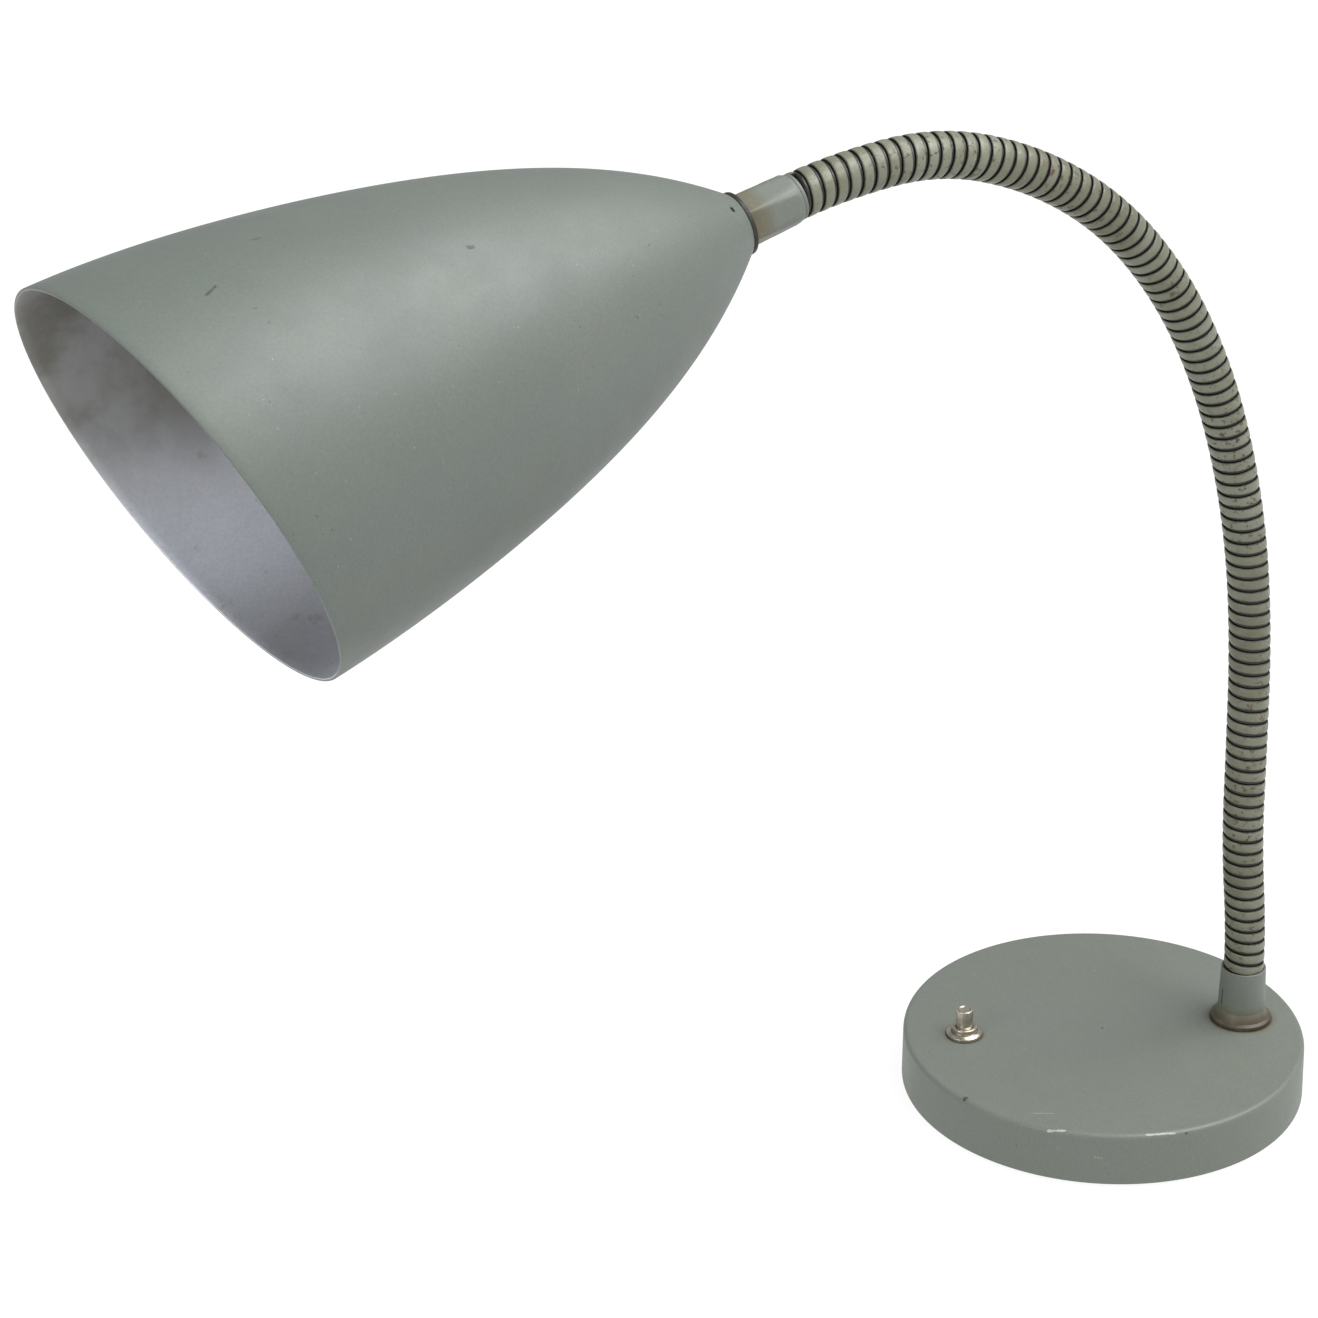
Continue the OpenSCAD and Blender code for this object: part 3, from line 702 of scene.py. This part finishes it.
def switch_parts():
    at = Vector((switch.x, switch.y, top_z))
    nut_low, nut_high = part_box("switch_nut")
    nut_r = (nut_high.x - nut_low.x) / 2
    nut = rounded([
        (mm(5.05), 0, 0), (nut_r, 0, mm(0.2)), (nut_r, mm(1.2), mm(0.4)),
        (nut_r - mm(0.9), mm(2.0), mm(0.3)), (mm(5.05), mm(2.1), mm(0.15)),
    ])
    piece = lathe("switch_ring_nut", nut, [mat["nickel"]], placed(at), 96)
    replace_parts(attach(piece, "base"), "switch_nut")

    low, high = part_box("switch_bushing")
    bushing_low, bushing_top = low.z - top_z, high.z - top_z
    bushing = rounded([
        (mm(3.25), bushing_low, 0), (mm(5), bushing_low, 0), (mm(5), bushing_top, mm(0.5)),
        (mm(4.0), bushing_top, mm(0.2)), (mm(3.25), bushing_top - mm(0.4), mm(0.1)),
    ])
    piece = lathe("switch_collar", bushing, [mat["nickel"]], placed(at), 96)
    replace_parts(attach(piece, "base"), "switch_bushing")

    button_low, button_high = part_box("switch_plunger")
    low, top = button_low.z - top_z, button_high.z - top_z
    button = rounded([
        (mm(0.05), low, 0), (mm(4.6), low, mm(0.1)), (mm(4.6), low + mm(1.2), mm(0.1)),
        (mm(3.2), low + mm(1.2), 0), (mm(3.2), top, mm(0.5)), (mm(2.3), top, mm(0.2)),
        (mm(2.0), top - mm(0.35), mm(0.2)), (mm(0.05), top - mm(0.45), 0),
    ])
    piece = lathe("switch_button", button, [mat["nickel"]], placed(at), 96)
    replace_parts(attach(piece, "button"), "switch_plunger")

    # the return spring shortens by the button's travel; here it only gets a mesh of its own
    low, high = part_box("switch_spring")
    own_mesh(frame["nodes"]["switch_spring"])


# ---------------------------------------------------------------- neck

# Corners of each wire's section: (distance from the neck's middle, place along it) in
# shares of the outside radius and of the pitch, and how deep in the groove it lies
OUTER_WIRE = [
    (0.955, -0.385, 0.9), (0.982, -0.345, 0.35), (0.995, -0.22, 0.0), (1.0, 0.0, 0.0),
    (0.995, 0.22, 0.0), (0.982, 0.345, 0.35), (0.955, 0.385, 0.9), (0.86, 0.33, 1.2),
    (0.74, 0.06, 1.2), (0.74, -0.06, 1.2), (0.86, -0.33, 1.2),
]
INNER_WIRE = [
    (0.775 + 0.14 * math.cos(2 * math.pi * k / 10), 0.5 + 0.23 * math.sin(2 * math.pi * k / 10), 0.75)
    for k in range(10)
]


def bezier(a, b, c, t):
    return a * (1 - t) ** 2 + b * 2 * t * (1 - t) + c * t * t


def neck_spans():
    """The neck's line as one smooth arc through each hinge, from middle to middle."""
    knots = [foot_top] + hinges + [neck_end]
    middles = [knots[0]] + [(a + b) / 2 for a, b in zip(knots[1:-1], knots[2:-1])] + [knots[-1]]
    return [(middles[i], hinges[i], middles[i + 1]) for i in range(len(hinges))]


def sample_neck(steps=60):
    """Points along the neck, each (distance, point), and where each span ends."""
    line, ends, run = [], [0.0], 0.0
    previous = None
    for a, b, c in neck_spans():
        for k in range(steps + 1):
            point = bezier(a, b, c, k / steps)
            if previous is not None:
                run += (point - previous).length
            if k or not line:
                line.append((run, point))
            previous = point
        ends.append(run)
    return line, ends


def point_on(line, distance):
    """The point and direction at a distance along the neck."""
    distance = min(max(distance, line[0][0]), line[-1][0])
    low, high = 0, len(line) - 1
    while high - low > 1:
        mid = (low + high) // 2
        if line[mid][0] <= distance:
            low = mid
        else:
            high = mid
    (da, a), (db, b) = line[low], line[high]
    share = (distance - da) / max(db - da, 1e-9)
    before = line[max(low - 2, 0)][1]
    after = line[min(high + 2, len(line) - 1)][1]
    return a.lerp(b, share), (after - before).normalized()


def wire(name, section, line, start, end, pitch, material):
    """One wire's turns between two distances along the neck, as a closed mesh."""
    verts, faces, depth = [], [], []
    steps = max(int((end - start) / pitch * TURN_STEPS), 4)
    count = len(section)
    for k in range(steps + 1):
        s = start + (end - start) * k / steps
        angle = 2 * math.pi * s / pitch
        for share, along, groove in section:
            here, direction = point_on(line, s + along * pitch)
            out = direction.cross(plane_normal)
            radial = out * math.cos(angle) + plane_normal * math.sin(angle)
            verts.append(here + radial * (share * NECK_RADIUS))
            depth.append(groove)
    for k in range(steps):
        for i in range(count):
            i2 = (i + 1) % count
            faces.append((k * count + i, (k + 1) * count + i, (k + 1) * count + i2, k * count + i2))
    faces.append(tuple(range(count - 1, -1, -1)))
    faces.append(tuple(steps * count + i for i in range(count)))
    piece = finish_mesh(name, verts, faces, [material], sharp=50)
    attribute = piece.data.attributes.new("groove", "FLOAT", "POINT")
    attribute.data.foreach_set("value", depth)
    return piece


def neck():
    line, ends = sample_neck()
    length = ends[-1]
    pitch = length / NECK_TURNS
    spans = neck_spans()
    for i, (a, _, c) in enumerate(spans):
        start, end = ends[i], ends[i + 1]
        if i == 0:
            start -= pitch
        for kind, section in (("outer", OUTER_WIRE), ("inner", INNER_WIRE)):
            piece = wire(f"neck_{kind}_wire_{i + 1:02d}", section, line, start, end, pitch, mat["neck_steel"])
            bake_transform(piece)
            if kind == "outer":
                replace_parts(piece, f"neck_coil_{i + 1:02d}" if i < NECK_SECTIONS else "neck_head_coil")
                if i == 0:
                    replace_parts(piece, "neck_root_coil")


# ---------------------------------------------------------------- head


def mouth_distance(angle):
    """How far along its axis the shade reaches in a direction round that axis.

    The mouth is a slanting cut, so its reach depends on the radius there, which is why
    the answer is approached in steps.
    """
    slope = math.tan(MOUTH_TILT) * math.cos(angle - MOUTH_ROLL)
    s = MOUTH_AT
    for _ in range(30):
        s = MOUTH_AT - slope * shade_radius(s)
    return s


def shade():
    around, along, step = 256, 90, mm(0.5)
    verts, faces, slots = [], [], []
    rows = []
    for k in range(around):
        a = 2 * math.pi * k / around
        reach = mouth_distance(a)
        outer, inner = [], []
        for i in range(along + 1):
            s = reach * (i / along) ** 1.25
            r = shade_radius(s)
            before = max(s - step, 0)
            rise = (shade_radius(s + step) - shade_radius(before)) / (s + step - before)
            tip = 1 / math.hypot(1, rise)
            outer.append((r, s))
            inner.append((r - SHADE_WALL * tip, s + SHADE_WALL * rise * tip))
        # the rim is a small half round between the two skins
        (ro, so), (ri, si) = outer[-1], inner[-1]
        middle = Vector(((ro + ri) / 2, (so + si) / 2))
        half = (Vector((ro, so)) - Vector((ri, si))) / 2
        ahead = Vector((-half.y, half.x)) if half.x > 0 else Vector((half.y, -half.x))
        rim = []
        for i in range(1, RIM_STEPS + 1):
            t = math.pi * i / (RIM_STEPS + 1)
            rim.append(tuple(middle + half * math.cos(t) + ahead * math.sin(t) * 0.8))
        inner = [p for p in inner if p[1] > SHADE_WALL * 1.05]
        inner = inner[-(along - 3):]
        neck_inside = [(shade_radius(SHADE_WALL) - mm(1.7), SHADE_WALL), (SHADE_HOLE, SHADE_WALL)]
        column = [(SHADE_HOLE, 0)] + outer + rim + inner[::-1] + neck_inside
        rows.append((a, column))
    count = len(rows[0][1])
    for a, column in rows:
        for r, s in column:
            verts.append((r * math.cos(a), r * math.sin(a), s))
    outside = along + RIM_STEPS
    for k in range(around):
        k2 = (k + 1) % around
        for i in range(count):
            i2 = (i + 1) % count
            faces.append((k * count + i, k2 * count + i, k2 * count + i2, k * count + i2))
            slots.append(0 if i < outside else 1)
    skins = [mat["shade_enamel"], mat["shade_inside"]]
    piece = finish_mesh("shade_skin", verts, faces, skins, head_place, 40, slots)
    start = head_place @ Vector((0, 0, VENT_AT + shade_radius(VENT_AT)))
    out = head_place.to_3x3() @ Vector((math.cos(VENT_ANGLE), math.sin(VENT_ANGLE), -1))
    cutter = rod("vent_cutter", VENT_R, mm(40), placed(start, out, Vector((0.1, 0.2, 1))))
    cut_with(piece, cutter)
    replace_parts(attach(piece, "head"), "shade")


def upper_ferrule():
    corner = mm(9.0)
    flats = corner * math.cos(math.pi / 6)
    turned = math.radians(5)
    collar_r, collar_t, chamfer = mm(7.5), mm(1.3), mm(1.6)
    length = FERRULE_LEN

    def hexagon(r, z, a):
        if z < collar_t or r < flats - mm(0.1):
            return r
        off = (a - turned) % (math.pi / 3) - math.pi / 6
        return min(r, flats / math.cos(off))

    outline = rounded([
        (mm(2.6), -mm(10), 0), (mm(4.35), -mm(10), 0), (mm(4.35), 0, 0), (collar_r, 0, mm(0.25)),
        (collar_r, collar_t * 0.75, mm(0.2)), (mm(7.3), collar_t, mm(0.1)),
        (mm(7.6), collar_t + mm(0.1), 0), (mm(7.9), collar_t + chamfer * 0.5, 0),
        (mm(8.2), collar_t + chamfer, 0), (mm(8.45), length * 0.4, 0), (mm(8.75), length * 0.75, 0),
        (corner, length - mm(0.2), 0), (corner - mm(0.2), length, 0),
        (mm(5.1), length, 0), (mm(5.1), length / 2, 0), (mm(2.6), length / 2, 0),
    ])
    place = placed(neck_end, head_axis, plane_normal)
    piece = lathe("hex_ferrule", outline, [mat["ferrule_enamel"]], place, 144, hexagon, 20)
    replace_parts(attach(piece, "head"), "upper_ferrule")


def washer_ring():
    outline = rounded([
        (mm(5.1), -WASHER_T, 0), (mm(10.2), -WASHER_T, mm(0.3)), (mm(10.2), 0, mm(0.3)), (mm(5.1), 0, 0)
    ])
    piece = lathe("dark_ring", outline, [mat["dark_washer"]], head_place, 96)
    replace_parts(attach(piece, "head"), "shade_washer")


def bulb():
    base = mm(49)
    crown = base + mm(54)
    big = mm(30)
    outline = [(mm(0.1), base), (mm(13.3), base), (mm(13.8), base + mm(4)), (mm(15.6), base + mm(13))]
    for k in range(0, 25):
        a = math.radians(-50 + 140 * k / 24)
        outline.append((max(big * math.cos(a), mm(0.1)), crown + big * math.sin(a)))
    piece = lathe("bulb_envelope", outline, [mat["bulb_glass"]], head_place, 96, sharp=60)
    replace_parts(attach(piece, "head"), "bulb_glass")


base_shell()
felt_disc()
foot_ferrule()
switch_parts()
neck()
shade()
upper_ferrule()
washer_ring()
bulb()

# ---------------------------------------------------------------- stage, light and camera


def floor():
    size = 12.0
    mesh = bpy.data.meshes.new("floor")
    corners = [(-size, -size, 0), (size, -size, 0), (size, size, 0), (-size, size, 0)]
    mesh.from_pydata(corners, [], [(0, 1, 2, 3)])
    n = Nodes("floor_white")
    mottle = n.ramp(n.noise(3, 3), 0.3, 0.7)
    n.set(Base_Color=n.mix(mottle, (0.09, 0.09, 0.09, 1), (0.07, 0.07, 0.07, 1)), Roughness=0.9)
    n.shader.inputs["Emission Color"].default_value = (1, 1, 1, 1)
    n.shader.inputs["Emission Strength"].default_value = 0.93
    mesh.materials.append(n.material)
    piece = bpy.data.objects.new("floor", mesh)
    piece.location = (0, 0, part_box("felt_pad")[0].z - mm(0.1))
    bpy.context.scene.collection.objects.link(piece)


def area_light(name, at, aim, size, power):
    data = bpy.data.lights.new(name, "AREA")
    data.shape = "RECTANGLE"
    data.size, data.size_y = size
    data.energy = power
    lamp = bpy.data.objects.new(name, data)
    lamp.location = at
    lamp.rotation_euler = (Vector(aim) - Vector(at)).to_track_quat("-Z", "Y").to_euler()
    bpy.context.scene.collection.objects.link(lamp)


def lights():
    world = bpy.data.worlds.new("studio")
    bpy.context.scene.world = world
    world.use_nodes = True
    background = world.node_tree.nodes["Background"]
    background.inputs["Color"].default_value = (0.97, 0.99, 1.0, 1)
    background.inputs["Strength"].default_value = 0.45
    middle = (-0.08, -0.05, 0.2)
    area_light("key", (1.7, -0.5, 3.2), middle, (3.6, 2.8), 222)
    area_light("left", (-2.0, -1.6, 0.9), middle, (1.4, 1.0), 24)
    area_light("front", (0.1, -2.2, 0.8), middle, (1.4, 0.8), 3)


def camera():
    data = bpy.data.cameras.new("camera")
    data.lens = CAMERA_LENS
    data.sensor_width = 36
    data.clip_end = 50
    cam = bpy.data.objects.new("camera", data)
    turn = math.radians(CAMERA_TURN)
    pitch = math.radians(CAMERA_PITCH)
    roll = math.radians(-CAMERA_ROLL)
    right = Vector((math.cos(turn), math.sin(turn), 0))
    ahead = Vector((-math.sin(turn) * math.cos(pitch), math.cos(turn) * math.cos(pitch), -math.sin(pitch)))
    up = right.cross(ahead)
    x = right * math.cos(roll) + up * math.sin(roll)
    y = up * math.cos(roll) - right * math.sin(roll)
    cam.matrix_world = Matrix.Translation(CAMERA_AT) @ Matrix((x, y, -ahead)).transposed().to_4x4()
    bpy.context.scene.collection.objects.link(cam)
    bpy.context.scene.camera = cam


floor()
lights()
camera()
bpy.context.scene.view_settings.view_transform = "Standard"
